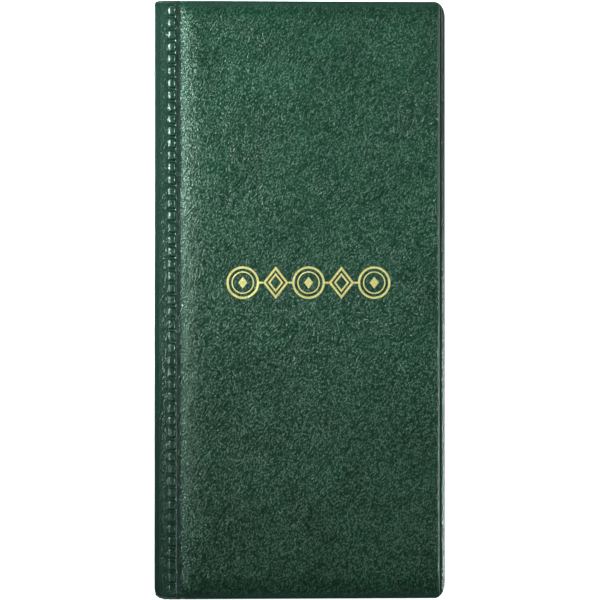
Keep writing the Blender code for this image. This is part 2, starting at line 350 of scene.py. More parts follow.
def skin_columns():
    """x, z and outward angle of the sheet's columns, from the middle of the spine to the fore-edge."""
    web_top = STRIP_Z - SPINE_ROUND
    centre_x = SPINE_X + SPINE_ROUND
    web = [(SPINE_X, z, math.pi) for z in np.linspace(MID_Z, web_top, 4, endpoint=False)]
    turn = np.linspace(math.pi, math.pi / 2, 8, endpoint=False)
    corner = [
        (centre_x + SPINE_ROUND * math.cos(a), web_top + SPINE_ROUND * math.sin(a), a) for a in turn
    ]
    ease = 1 - np.cos(np.linspace(0, math.pi / 2, 13))
    flat = np.concatenate(
        [
            np.linspace(centre_x, BEAD_LEFT, 4, endpoint=False),
            np.linspace(BEAD_LEFT, BEAD_RIGHT, 20, endpoint=False),
            np.linspace(BEAD_RIGHT, PANEL_LEFT, 8, endpoint=False),
            PANEL_LEFT + PANEL_EDGE * np.linspace(0, 1, 24, endpoint=False),
            np.linspace(PANEL_LEFT + PANEL_EDGE, PANEL_RIGHT - FORE_PANEL_EDGE, 108, endpoint=False),
            PANEL_RIGHT - FORE_PANEL_EDGE * ease[:0:-1],
            PANEL_RIGHT + FORE_FLANGE * np.sin(np.linspace(0, math.pi / 2, 9)),
        ]
    )
    strip = [(x, STRIP_Z, math.pi / 2) for x in flat]
    return np.array(web + corner + strip).T


def skin_rows():
    start = -DASHES * DASH_PITCH / 2
    dashes = [start + (k + p) * DASH_PITCH for k in range(DASHES) for p in DASH_PHASES]
    ends = np.array(END_ROWS)
    return np.concatenate([ends - END_Y, dashes, [-start], END_Y - ends[::-1]])


def outline_ends(x):
    """How far the sheet reaches towards the tail and the head, at each column."""
    fore = corner_drop(FORE_X - x, FORE_CORNER)
    tail = END_Y - fore - corner_drop(x - SPINE_X, TAIL_CORNER)
    head = END_Y - fore - corner_drop(x - SPINE_X, HEAD_CORNER)
    return tail, head


def bead_relief(x, y):
    """Raised dashes with a rim and a faint middle rib, and valleys between them."""
    across = x - (BEAD_LEFT + BEAD_RIGHT) / 2
    place = (y + DASHES * DASH_PITCH / 2) / DASH_PITCH
    along = (place - np.floor(place) - 0.5) * DASH_PITCH
    inside = inside_distance(across, along, BEAD_WIDTH / 2 - DASH_INSET, DASH_LENGTH / 2, DASH_RADIUS)
    bevel = np.clip((across + BEAD_WIDTH / 2 - DASH_INSET) / DASH_BEVEL, 0, 1)
    pad = DASH_HEIGHT * np.minimum(smoothstep(0, 0.24, inside), bevel)
    rim = 0.15 * bump(inside, 0.38, 0.17) * smoothstep(-1.0, -0.7, across)
    rib = 0.06 * bump(across, -0.15, 0.22) * smoothstep(0.5, 0.9, inside)
    valley = -0.3 * smoothstep(0.2, -0.25, inside) * smoothstep(1.6, 1.1, np.abs(across))
    row_end = DASHES * DASH_PITCH / 2
    in_row = smoothstep(row_end + 0.1, row_end - 0.1, np.abs(y))
    return (pad + rim + rib + valley) * in_row


def corner_pucker(x, y, side, end, angle, size):
    """A short diagonal fold where the sheet is drawn over a corner of the pad."""
    along, across = turned(x - side, y - end, angle)
    bow = 0.05 * along**2
    return size * bump(across - bow, 0, 0.42) * bump(along, 0, 4.2)


def creases(x, y, cell, stretch, seed, width):
    """Thin curved lines, longer one way than the other."""
    along, across = turned(x, y, 52)
    warp = cell * smooth_noise(x, y, 3.5 * cell, seed + 1)
    field = smooth_noise(along / stretch, across + warp, cell, seed)
    present = smoothstep(-0.1, 0.45, smooth_noise(x, y, 2.4 * cell, seed + 2))
    return bump(field, 0, width) * present


def panel_relief(x, y, inside):
    """The crown, soft swells and creases of the padded panel."""
    swell = 0.16 * smooth_noise(x, y, 27, 3) + 0.05 * smooth_noise(x, y, 11, 4)
    lines = -0.09 * creases(x, y, 9, 2.6, 11, 0.12) - 0.06 * creases(x, y, 5, 2.2, 21, 0.18)
    fine = 0.022 * smooth_noise(x, y, 2.6, 8)
    folds = corner_pucker(x, y, PANEL_LEFT + 3.4, PANEL_END - 6.3, 49, 0.2)
    folds += corner_pucker(x, y, PANEL_LEFT + 2.6, -PANEL_END + 4.2, -40, 0.07)
    folds += corner_pucker(x, y, PANEL_RIGHT - 2.6, PANEL_END - 4.0, -50, 0.06)
    folds += corner_pucker(x, y, PANEL_RIGHT - 2.4, -PANEL_END + 3.6, 44, 0.08)
    swell = swell * smoothstep(1.0, 12, inside)
    lines = (lines + fine) * smoothstep(0.8, 3, inside)
    return swell + lines + folds * smoothstep(0.5, 1.5, inside)


def panel_inside(x, y):
    """Distance inside the panel's outline."""
    middle = (PANEL_LEFT + PANEL_RIGHT) / 2
    return inside_distance(x - middle, y, (PANEL_RIGHT - PANEL_LEFT) / 2, PANEL_END, PANEL_RADIUS)


def panel_dome(x, y):
    """0 on and outside the panel's foot and 1 on its top. The fore-edge side is the steepest."""
    short_left = 1 - np.clip((x - PANEL_LEFT) / PANEL_EDGE, 0, 1)
    short_right = 1 - np.clip((PANEL_RIGHT - x) / FORE_PANEL_EDGE, 0, 1)
    steep_right = quarter_round((PANEL_RIGHT - x) / FORE_FOOT)
    across = (1 - short_left**PANEL_EDGE_POWER) * (1 - FORE_SHOULDER * short_right**2) * steep_right
    from_end = (PANEL_END - np.abs(y)) / np.where(y > 0, HEAD_PANEL_EDGE, TAIL_PANEL_EDGE)
    short_y = 1 - np.clip(from_end, 0, 1)
    outside = (x < PANEL_LEFT) | (x > PANEL_RIGHT) | (np.abs(y) > PANEL_END)
    along = 1 - short_y ** np.where(y > 0, HEAD_EDGE_POWER, TAIL_EDGE_POWER)
    return np.where(outside, 0, across * along)


def skin_height(x, y, room, angle, detail=True):
    """Height of the outer face above the strip's level. room is the distance to the outline."""
    turned_up = np.clip((math.pi - angle) / (math.pi / 2), 0, 1)
    weld_depth = WEB_PINCH + (STRIP_Z - FLANGE_TOP - WEB_PINCH) * turned_up
    rise = quarter_round((room - END_WELD) / END_ROUND)
    level = -(STRIP_Z - GROOVE_Z) * smoothstep(BEAD_RIGHT - 0.25, BEAD_RIGHT + 0.45, x)
    hinge = (weld_depth + level) * rise - weld_depth
    inside = panel_inside(x, y)
    foot = FLANGE_TOP + (GROOVE_Z - FLANGE_TOP) * rise * smoothstep(PANEL_LEFT + FOOT_FADE, PANEL_LEFT, x)
    panel = foot - STRIP_Z + (TOP_Z - foot) * panel_dome(x, y)
    fall = np.clip((-inside - FLANGE_FLAT) / (FORE_FLANGE - FLANGE_FLAT), 0, 1)
    panel = panel - FLANGE_DROP * fall**FLANGE_POWER
    if detail:
        hinge = hinge + bead_relief(x, y) * rise * (angle < math.pi / 2 + 0.01)
        hinge = hinge + 0.03 * smooth_noise(x, y, 7, 31) * rise
        panel = panel + panel_relief(x, y, inside)
    return np.where(x < PANEL_LEFT, hinge, panel)


def skin_face(rows, columns, detail=True, depth=0.0):
    """Points of the skin's outer face, or of its inner face at a depth below it."""
    x, z, angle = columns
    y = spread(rows, outline_ends(x), CORNER_BAND)
    tail, head = outline_ends(x)
    room = np.minimum(np.where(y < 0, tail + y, head - y), FORE_X - x)
    height = skin_height(x[None, :] + 0 * y, y, room, angle[None, :] + 0 * y, detail) - depth
    if detail:
        height = height - RIM_ROUND * (1 - quarter_round(room / RIM_ROUND))
    return np.stack([x + np.cos(angle) * height, y, z + np.sin(angle) * height], -1)


def path_lengths(columns):
    x, z = columns[0], columns[1]
    return np.concatenate([[0], np.cumsum(np.hypot(np.diff(x), np.diff(z)))])


def scuff_and_highlight_mark(face):
    """1 where hands scuff the cover: the panel's shoulders and the tops of the dashes. There it is
    glossier and lighter in colour; the lighter colour is partly scuffing and partly a painted highlight
    along those lit edges.
    """
    x, y, z = face[:, :, 0], face[:, :, 1], face[:, :, 2]
    from_end = PANEL_END - np.abs(y)
    shoulder = bump(x - PANEL_LEFT, 1.9, 1.1) * smoothstep(3, 9, from_end)
    shoulder = shoulder + 0.8 * bump(PANEL_RIGHT - x, 1.0, 0.5)
    dash = 0.4 * smoothstep(STRIP_Z + 0.25, STRIP_Z + 0.45, z) * (x < BEAD_RIGHT)
    return np.clip(shoulder + dash, 0, 1)


def grain_and_shade_mark(face):
    """How much of the leather grain is left: the weld tool has pressed the bead and the rims smooth.
    Where less is left the colour is darker, and along the strip's spine edge and across the panel's ends
    that darkening is painted shade.
    """
    x, y, z = face[:, :, 0], face[:, :, 1], face[:, :, 2]
    on_web = smoothstep(STRIP_Z - 0.5, STRIP_Z - 1.5, z) * (x < BEAD_LEFT)
    # The grain fades out towards the spine's edge, so the strip darkens there: painted shade.
    strip = np.maximum(on_web, smoothstep(SPINE_X, SPINE_X + 3.5, x))
    strip = strip * (0.76 + 0.14 * smoothstep(60, -10, y))
    strip = strip - 0.35 * smoothstep(BEAD_LEFT - 0.3, BEAD_LEFT + 0.1, x)
    strip = strip + 0.2 * smoothstep(BEAD_RIGHT, BEAD_RIGHT + 0.4, x)
    from_end = PANEL_END - np.abs(y)
    # Less grain at the panel's head and tail darkens those slopes: painted shade.
    ends = 0.7 + 0.3 * smoothstep(0, 3.0, from_end)
    from_fore = PANEL_RIGHT - x
    rim = 0.25 + 0.2 * smoothstep(0, 0.4, from_fore) + 0.55 * smoothstep(0.8, 1.6, from_fore)
    return np.where(x < PANEL_LEFT, strip, ends * rim)


def cover_skin(name, side, finish, mirrored):
    columns, rows = skin_columns(), skin_rows()
    outer = skin_face(rows, columns)
    if mirrored:
        outer[:, :, 2] = np.minimum(outer[:, :, 2], TOP_Z)
    coarse = columns[:, ::UNDERSIDE_STEP]
    inner = skin_face(rows[::UNDERSIDE_STEP], coarse, detail=False, depth=SKIN)
    on_lining = inner[:, :, 0] > BEAD_LEFT
    lifted = np.maximum(inner[:, :, 2], LINING_TOP + 0.03)
    inner[:, :, 2] = np.where(on_lining, lifted, inner[:, :, 2])
    marks = {"scuff_and_highlight": scuff_and_highlight_mark(outer), "grain": grain_and_shade_mark(outer)}
    skin = closed_sheet(name, outer, inner, UNDERSIDE_STEP, path_lengths(columns), marks, mirrored)
    dress(skin, finish)
    bend_with_cover(skin, side)
    return skin


def bend_with_cover(piece, side):
    """Bakes the sheet's placement into its points, the same way for either side. The points are x and z
    on the front half.
    """
    if side == "front":
        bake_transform(piece)
    else:
        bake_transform(piece)


def dress(piece, finish):
    """Gives a piece its material."""
    piece.data.materials.clear()
    piece.data.materials.append(finish)


# Lining, foam and the leaves' welded margins


def lining_columns(flat_z, inner_x, radius=LINING_ROUND):
    """Columns of the lining's inner face on the back half, from the middle of the spine outwards."""
    web = [(inner_x, z, 0.0) for z in np.linspace(MID_Z, flat_z + radius, 4, endpoint=False)]
    turn = np.linspace(0, math.pi / 2, 8, endpoint=False)
    centre = (inner_x + radius, flat_z + radius)
    corner = [(centre[0] - radius * math.cos(a), centre[1] - radius * math.sin(a), a) for a in turn]
    flat = np.concatenate([spaced((centre[0], LINING_EVEN_X, 68)), FORE_X - LINING_EDGE[::-1]])
    return np.array(web + corner + [(x, flat_z, math.pi / 2) for x in flat]).T


def cover_lining(name, side, finish, mirrored):
    """The inner face of a cover, with a pressed weld line near its edge."""
    node_low, node_high = box_mm("back_cover_lining")
    spine_high = box_mm("spine_lining")[1]
    columns = lining_columns(node_high[2], spine_high[0])
    middle = np.linspace(-LINING_EVEN_Y, LINING_EVEN_Y, 140)
    rows = np.concatenate([LINING_EDGE - END_Y, middle, END_Y - LINING_EDGE[::-1]])
    x, z, angle = columns
    tail, head = outline_ends(x)
    y = spread(rows, (tail, head), CORNER_BAND)
    room = np.minimum(np.where(y < 0, tail + y, head - y), FORE_X - x)
    weld = -0.1 * bump(room, 1.0, 0.28) - 0.12 * (1 - quarter_round(room / 0.4))
    soft = 0.05 * smooth_noise(x + 0 * y, y, 16, 41) * smoothstep(2, 9, room)
    out = weld + soft

    def face(height):
        return np.stack([x + np.cos(angle) * height, y, z + np.sin(angle) * height], -1)

    thickness = node_high[2] - node_low[2]
    lining = closed_sheet(
        name, face(out), face(0 * out - thickness), 1, path_lengths(columns), None, mirrored
    )
    dress(lining, finish)
    bend_with_cover(lining, side)
    return lining


def pad_lines(half, count):
    """Grid lines from -half to half, closer together near both ends."""
    ease = PAD_EASE * (1 - np.cos(np.linspace(0, math.pi / 2, 9)))
    middle = np.linspace(PAD_EASE - half, half - PAD_EASE, count)
    return np.concatenate([ease[:-1] - half, middle, half - ease[-2::-1]])


def foam_pad(name, node, finish, body):
    """The crowned pad that fills a cover, with soft edges drawn in between its corners."""
    low, high = box_mm("front_cover_foam_pad")
    half = (high - low) / 2
    centre_x = (low[0] + high[0]) / 2
    across = pad_lines(half[0], 50)
    along = pad_lines(half[1], 110)
    drop = corner_drop(half[0] - np.abs(across), (PAD_CORNER, PAD_CORNER))
    y = spread(along, (half[1] - drop, half[1] - drop), PAD_CORNER)
    x = across[None, :] * (1 - 0.002 * (1 - (y / half[1]) ** 2))
    inside = inside_distance(across[None, :] + 0 * y, y, half[0], half[1], PAD_CORNER)
    crown = quarter_round((inside + PAD_GAP) / PAD_ROUND)
    cells = 0.03 * smooth_noise(x, y, 1.8, 51) + 0.04 * smooth_noise(x, y, 14, 52)
    thick = high[2] - low[2] - PAD_CLEAR
    under_skin = FLANGE_TOP + (TOP_Z - FLANGE_TOP) * panel_dome(x + centre_x, y) - SKIN - PAD_GAP
    top = np.minimum(low[2] + thick * (0.2 + 0.8 * crown) + cells, under_skin)
    upper = np.stack([x + centre_x, y, np.maximum(top, low[2] + PAD_GAP)], -1)
    lower = np.stack([x + centre_x, y, low[2] + 0.1 * PAD_GAP * (1 - crown)], -1)
    pad = closed_sheet(name, upper, lower, 1, across, None, body == "back_cover")
    dress(pad, finish)
    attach(pad, body)
    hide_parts(node)


def welded_margins(finish):
    """The leaves' left margins fused into one block, with every leaf's edge still to be seen."""
    low, high = box_mm("leaf_welded_margins")
    layer = (high[2] - low[2]) / LEAVES
    steps = np.linspace(0, 1, 7)[:-1]
    z_up = np.concatenate([low[2] + (k + steps) * layer for k in range(LEAVES)] + [[high[2]]])
    place = (z_up - low[2]) / layer
    edge = 0.28 * (1 - quarter_round(2 * np.minimum(place % 1, 1 - place % 1)))
    loop_x = np.concatenate([high[0] - edge, (low[0] + edge)[::-1]])
    loop_z = np.concatenate([z_up, z_up[::-1]])
    rows = np.linspace(low[1], high[1], 119)
    x = np.repeat(loop_x[None, :], len(rows), 0)
    y = np.repeat(rows[:, None], len(loop_x), 1)
    x = x + 0.06 * smooth_noise(y, 3 * loop_z[None, :] + 0 * y, 6, 61)
    z = np.repeat(loop_z[None, :], len(rows), 0)
    count = len(loop_x)
    index = np.arange(len(rows) * count).reshape(len(rows), count)
    after = np.roll(index, -1, axis=1)
    walls = np.stack([index[:-1], index[1:], after[1:], after[:-1]], -1).reshape(-1, 4).tolist()
    caps = [index[0].tolist(), index[-1, ::-1].tolist()]
    block = new_piece(
        "leaf_margins_welded",
        np.stack([x, y, z], -1).reshape(-1, 3),
        walls + caps,
        uv=np.stack([z, y], -1).reshape(-1, 2),
        marks={"weld": np.ones(x.size)},
        sharp_deg=40,
    )
    dress(block, finish)
    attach(block, "spine")
    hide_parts("leaf_welded_margins")


# Pocket leaves


def leaf_wave(x, y, number):
    """The slight wave of a leaf, much the same for neighbours."""
    free = smoothstep(-50, -20, x)
    return free * (0.16 * smooth_noise(x, y, 60, 71) + 0.045 * smooth_noise(x, y, 35, 72 + number))


def solidify(piece, thickness):
    """Makes a surface a closed film of that thickness, half on each side."""
    modifier = piece.modifiers.new("film", "SOLIDIFY")
    modifier.thickness = thickness * MM
    modifier.offset = 0.0
    evaluated = piece.evaluated_get(bpy.context.evaluated_depsgraph_get())
    solid = bpy.data.meshes.new_from_object(evaluated)
    piece.modifiers.clear()
    old = piece.data
    piece.data = solid
    bpy.data.meshes.remove(old)
    solid.name = piece.name


def backing_film(number, finish):
    node = f"leaf_{number}_backing_film"
    low, high = box_mm(node)
    margin_right = box_mm("leaf_welded_margins")[1][0]
    bend_end, rim_x = low[0] + 1.0, high[0] - LEAF_RIM
    xs = spaced(
        (margin_right - LEAF_IN_MARGIN, bend_end, 14), (bend_end, rim_x, 40), (rim_x, high[0], 6)
    )
    foot_y, rim_y = low[1] + LEAF_RIM, high[1] - LEAF_RIM
    ys = spaced((low[1], foot_y, 5), (foot_y, rim_y, 70), (rim_y, high[1], 5))
    drop = corner_drop(high[0] - xs, (LEAF_CORNER, LEAF_CORNER))
    y = spread(ys, (high[1] - drop, high[1] - drop), 6.0)
    x = xs[None, :] + 0 * y
    z = (low[2] + high[2]) / 2 + leaf_wave(x, y, number)
    weld = smoothstep(1.6, 1.2, np.minimum(high[0] - x, high[1] - drop - np.abs(y)))
    film = new_piece(
        f"leaf_{number}_backing",
        np.stack([x, y, z], -1).reshape(-1, 3),
        grid_faces(*x.shape).tolist(),
        uv=np.stack([x, y], -1).reshape(-1, 2) + UV_ASIDE,
        marks={"weld": weld.ravel()},
    )
    solidify(film, FILM)
    dress(film, finish)
    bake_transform(film)
    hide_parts(node)


def pocket_lines(start, pitch, count, offsets):
    """Grid lines of a row of pockets, from the offsets within one pocket."""
    lines = [start + k * pitch + o for k in range(count) for o in offsets]
    return np.array(lines + [start + count * pitch])


def pocket_grid(low, high):
    """Grid of a pocket film, with lines along the welds and mouths and finer cells at the thumb notch."""
    width = (high[0] - low[0]) / POCKET_COLUMNS
    height = (high[1] - low[1]) / POCKET_ROWS
    side = (width - MOUTH_WIDTH) / 2
    notch = np.arange(width / 2 - 8, width / 2 + 8.5, 1.0)
    weld = np.array([POCKET_WELD, 1.5, 3.2])
    across = np.concatenate(
        [
            [0, *weld],
            np.linspace(side, notch[0], 6)[:-1],
            notch,
            np.linspace(notch[-1], width - side, 6)[1:],
            width - weld[::-1],
        ]
    )
    mouth_top = height - MOUTH_BELOW_EDGE
    mouth_foot = mouth_top - MOUTH_HEIGHT
    along = np.concatenate(
        [
            [0, *weld],
            np.linspace(5.5, mouth_foot - 8, 9),
            mouth_foot - np.arange(7, -0.5, -1.0),
            [mouth_foot + 0.8, mouth_top, mouth_top + 0.9, height - POCKET_WELD],
        ]
    )
    xs = pocket_lines(low[0], width, POCKET_COLUMNS, across)
    ys = pocket_lines(low[1], height, POCKET_ROWS, along)
    return xs, ys, width, height


def cut_mouths(x, y, low, width, height):
    """Snaps grid points to the thumb notches and returns the faces that stay."""
    mouth_top = height - MOUTH_BELOW_EDGE
    foot = mouth_top - MOUTH_HEIGHT
    local_x = (x - low[0]) % width - width / 2
    local_y = (y - low[1]) % height - foot
    reach = np.hypot(local_x, local_y)
    below = local_y < 0.2
    snap = below & (np.abs(reach - THUMB_RADIUS) < 0.55)
    scale = np.where(snap, THUMB_RADIUS / np.maximum(reach, 1e-6), 1.0)
    x = x + local_x * (scale - 1)
    y = y + local_y * (scale - 1)
    reach = np.where(snap, THUMB_RADIUS, reach)
    in_notch = below & (reach < THUMB_RADIUS - 0.01)
    faces, kept = grid_faces(*x.shape), []
    flat_notch = in_notch.ravel()
    middle_x = local_x.ravel()[faces].mean(1)
    middle_y = local_y.ravel()[faces].mean(1)
    in_slot = (np.abs(middle_x) < MOUTH_WIDTH / 2) & (middle_y > 0) & (middle_y < MOUTH_HEIGHT)
    for face, slot in zip(faces.tolist(), in_slot):
        inside = [v for v in face if flat_notch[v]]
        if slot or len(inside) > 1:
            continue
        kept.append([v for v in face if v not in inside])
    return x, y, kept


def pocket_film(number, finish):
    """Twelve pockets in one film, welded to the backing round each pocket, with cut mouths."""
    node = f"leaf_{number}_pocket_film"
    low, high = box_mm(node)
    base = box_mm(f"leaf_{number}_backing_film")[1][2] + FILM / 2 + 0.01
    xs, ys, width, height = pocket_grid(low, high)
    y = np.repeat(ys[:, None], len(xs), 1)
    x = np.repeat(xs[None, :], len(ys), 0)
    x, y, faces = cut_mouths(x, y, low, width, height)
    from_side = (x - low[0]) % width
    from_foot = (y - low[1]) % height
    room_x = np.minimum(from_side, width - from_side)
    room_y = np.minimum(from_foot, height - from_foot)
    room = np.minimum(room_x, room_y)
    puff = quarter_round((room - POCKET_WELD) / POCKET_ROUND) * (high[2] - FILM / 2 - base)
    wave = 0.03 * smooth_noise(x, y, 9, 90 + number) * smoothstep(1, 6, room)
    corner = np.maximum(0, LEAF_CORNER - np.hypot(high[0] - x, high[1] - np.abs(y)))
    x = x - 0.55 * corner * smoothstep(2.9, 0, high[1] - np.abs(y)) * (x > high[0] - 1.6)
    z = base + puff + wave + leaf_wave(x, y, number)
    film = new_piece(
        f"leaf_{number}_pockets",
        np.stack([x, y, z], -1).reshape(-1, 3),
        faces,
        uv=np.stack([x, y], -1).reshape(-1, 2) + UV_ASIDE,
        marks={"weld": smoothstep(1.5, 0.7, room).ravel()},
    )
    drop_loose_points(film)
    solidify(film, FILM)
    dress(film, finish)
    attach(film, f"leaf_{number}")
    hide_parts(node)


def drop_loose_points(piece):
    """Removes the grid points that the mouths left without a face."""
    cage = bmesh.new()
    cage.from_mesh(piece.data)
    bmesh.ops.delete(cage, geom=[v for v in cage.verts if not v.link_faces], context="VERTS")
    cage.to_mesh(piece.data)
    cage.free()


# Foil ornament


def foil_height(place):
    x, y = place[:, 0], place[:, 1]
    return TOP_Z + panel_relief(x, y, panel_inside(x, y))


class FoilBands:
    """Thin closed bands of foil that follow the panel."""

    def __init__(self):
        self.points, self.faces = [], []

    def band(self, inner, outer, closed=True):
        """A band between two lines of points."""
        inner, outer = np.asarray(inner, float), np.asarray(outer, float)
        first, count = len(self.points), len(inner)
        for offset in (FOIL_ABOVE, -FOIL_BELOW):
            for line in (inner, outer):
                z = foil_height(line) + offset
                self.points.extend(np.column_stack([line, z]).tolist())
        for k in range(count if closed else count - 1):
            a, b = first + k, first + (k + 1) % count
            for i, j in ((0, 1), (1, 3), (3, 2), (2, 0)):
                self.faces.append([a + i * count, a + j * count, b + j * count, b + i * count])
        if not closed:
            for k, order in ((first, (0, 2, 3, 1)), (first + count - 1, (0, 1, 3, 2))):
                self.faces.append([k + i * count for i in order])

    def ring(self, centre, low, high):
        turn = np.linspace(0, 2 * math.pi, COIN_STEPS, endpoint=False)
        circle = np.column_stack([np.cos(turn), np.sin(turn)])
        self.band(centre + low * circle, centre + high * circle)

    def lozenge(self, centre, low, high):
        wide, tall = LOZENGE_HALF_WIDTH, COIN_RADIUS
        corners = np.array([[wide, 0], [0, tall], [-wide, 0], [0, -tall]])
        after = np.roll(corners, -1, 0)
        steps = np.linspace(0, 1, 7)[:-1, None]
        line = np.concatenate([a * (1 - steps) + b * steps for a, b in zip(corners, after)])
        self.band(centre + low * line, centre + high * line)

    def bar(self, start, end, half):
        steps = np.linspace(start[0], end[0], 5)
        self.band(
            np.column_stack([steps, 0 * steps + start[1] - half]),
            np.column_stack([steps, 0 * steps + start[1] + half]),
            closed=False,
        )


def foil_ornament(finish):
    low, high = box_mm("front_cover_foil_ornament")
    centre = (low[:2] + high[:2]) / 2
    pitch = (high[0] - low[0] - 2 * COIN_RADIUS) / 4
    foil = FoilBands()
    for k in (-2, 0, 2):
        coin = centre + [k * pitch, 0]
        for edges in COIN_RINGS:
            foil.ring(coin, *edges)
        foil.lozenge(coin, *COIN_LOZENGE)
    for k in (-1, 1):
        for edges in LOZENGE_BANDS:
            foil.lozenge(centre + [k * pitch, 0], *edges)
    gap = pitch - COIN_RADIUS - LOZENGE_HALF_WIDTH
    for k in (-2, 0, 2):
        for side in (-1, 1):
            tip = centre + [k * pitch + side * COIN_RADIUS, 0]
            if abs(tip[0] + side * gap - centre[0]) < 2 * pitch + 0.1:
                ends = sorted([tip[0], tip[0] + side * gap])
                foil.bar((ends[0], tip[1]), (ends[1], tip[1]), RULE_HALF_HEIGHT)
    uv = np.array(foil.points)[:, :2] + UV_ASIDE
    piece = new_piece("front_cover_foil", foil.points, foil.faces, uv=uv)
    dress(piece, finish)
    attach(piece, "front_cover")
    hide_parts("front_cover_foil_ornament")


# Materials


class Finish:
    """A material with short ways to add and join its nodes."""

    def __init__(self, name, **fixed):
        self.material = bpy.data.materials.new(name)
        self.material.use_nodes = True
        self.tree = self.material.node_tree
        self.shader = self.tree.nodes["Principled BSDF"]
        for key, value in fixed.items():
            socket = key.replace("_", " ").title().replace("Ior", "IOR")
            self.shader.inputs[socket].default_value = value

    def node(self, kind, inputs=None, **settings):
        made = self.tree.nodes.new("ShaderNode" + kind)
        for key, value in settings.items():
            setattr(made, key, value)
        for key, value in (inputs or {}).items():
            self.feed(made, key, value)
        return made

    def feed(self, node, key, value):
        if isinstance(value, bpy.types.NodeSocket):
            self.tree.links.new(value, node.inputs[key])
        else:
            node.inputs[key].default_value = value

    def to_shader(self, key, socket):
        self.tree.links.new(socket, self.shader.inputs[key])

    def math(self, operation, a, b=0.0):
        return self.node("Math", {0: a, 1: b}, operation=operation).outputs[0]

    def vector(self, operation, a, b):
        return self.node("VectorMath", {0: a, 1: b}, operation=operation).outputs[0]

    def sheet_mm(self, turn=0.0, scale=(1, 1, 1)):
        """Place on the sheet, in millimetres, turned and stretched."""
        grown = self.vector("MULTIPLY", self.node("UVMap", uv_map="sheet").outputs[0], (1 / MM,) * 3)
        rotation = (0, 0, math.radians(turn))
        rotated = self.node("Mapping", {"Vector": grown, "Rotation": rotation}).outputs[0]
        return self.node("Mapping", {"Vector": rotated, "Scale": scale}).outputs[0]

    def object_mm(self):
        return self.vector("MULTIPLY", self.node("TexCoord").outputs["Object"], (1 / MM,) * 3)

    def noise(self, vector, size, detail=2.0, roughness=0.5, distortion=0.0):
        inputs = {"Vector": vector, "Scale": 1 / size, "Detail": detail}
        inputs |= {"Roughness": roughness, "Distortion": distortion}
        return self.node("TexNoise", inputs).outputs["Fac"]

    def ramp(self, value, *stops):
        """A colour ramp from (position, colour) stops; a single number stands for a grey."""
        made = self.node("ValToRGB", {0: value})
        elements = made.color_ramp.elements
        while len(elements) < len(stops):
            elements.new(0.5)
        for element, (position, colour) in zip(elements, stops):
            element.position = position
            colour = (colour,) * 3 if isinstance(colour, (int, float)) else colour
            element.color = (*colour, 1.0)
        return made.outputs[0]

    def mix(self, factor, a, b, blend="MIX"):
        made = self.node("MixRGB", {0: factor}, blend_type=blend)
        for key, value in ((1, a), (2, b)):
            value = value if isinstance(value, bpy.types.NodeSocket) else (*value, 1.0)
            self.feed(made, key, value)
        return made.outputs[0]

    def bump(self, height, distance, strength=1.0, under=None):
        inputs = {"Height": height, "Distance": distance * MM, "Strength": strength}
        if under is not None:
            inputs["Normal"] = under
        return self.node("Bump", inputs).outputs[0]


def pebbles(finish, size, turn, stretch, warp):
    """Rounded leather pebbles: low in the lines between them and high on each pebble."""
    place = finish.sheet_mm(turn, (1.0, 1 / stretch, 1.0))
    inputs = {"Vector": place, "Scale": 0.45 / size, "Detail": 2.0}
    wander = finish.node("TexNoise", inputs).outputs["Color"]
    shift = finish.vector("MULTIPLY", wander, (warp, warp, 0))
    moved = finish.vector("ADD", place, shift)
    cells = finish.node("TexVoronoi", {"Vector": moved, "Scale": 1 / size}, feature="SMOOTH_F1")
    cells.inputs["Smoothness"].default_value = 0.35
    return finish.math("SUBTRACT", 1.0, cells.outputs["Distance"])


def wrinkles(finish, turn, seed):
    """Families of near-parallel lines in patches: 1 on a line and 0 away from them."""
    place = finish.sheet_mm(turn)
    drift = finish.noise(place, 26, 2.0)
    sideways = finish.math("MULTIPLY", drift, 22.0)
    wander = finish.node("CombineXYZ", {0: sideways, 2: float(seed)}).outputs[0]
    moved = finish.vector("ADD", place, wander)
    long = finish.node("Mapping", {"Vector": moved, "Scale": (1.0, 0.1, 1.0)}).outputs[0]
    line = finish.ramp(finish.noise(long, 1.7, 1.0), (0.38, 0.0), (0.5, 1.0), (0.62, 0.0))
    patch = finish.ramp(finish.noise(moved, 21, 1.0), (0.42, 0.0), (0.66, 1.0))
    return finish.math("MULTIPLY", line, patch)


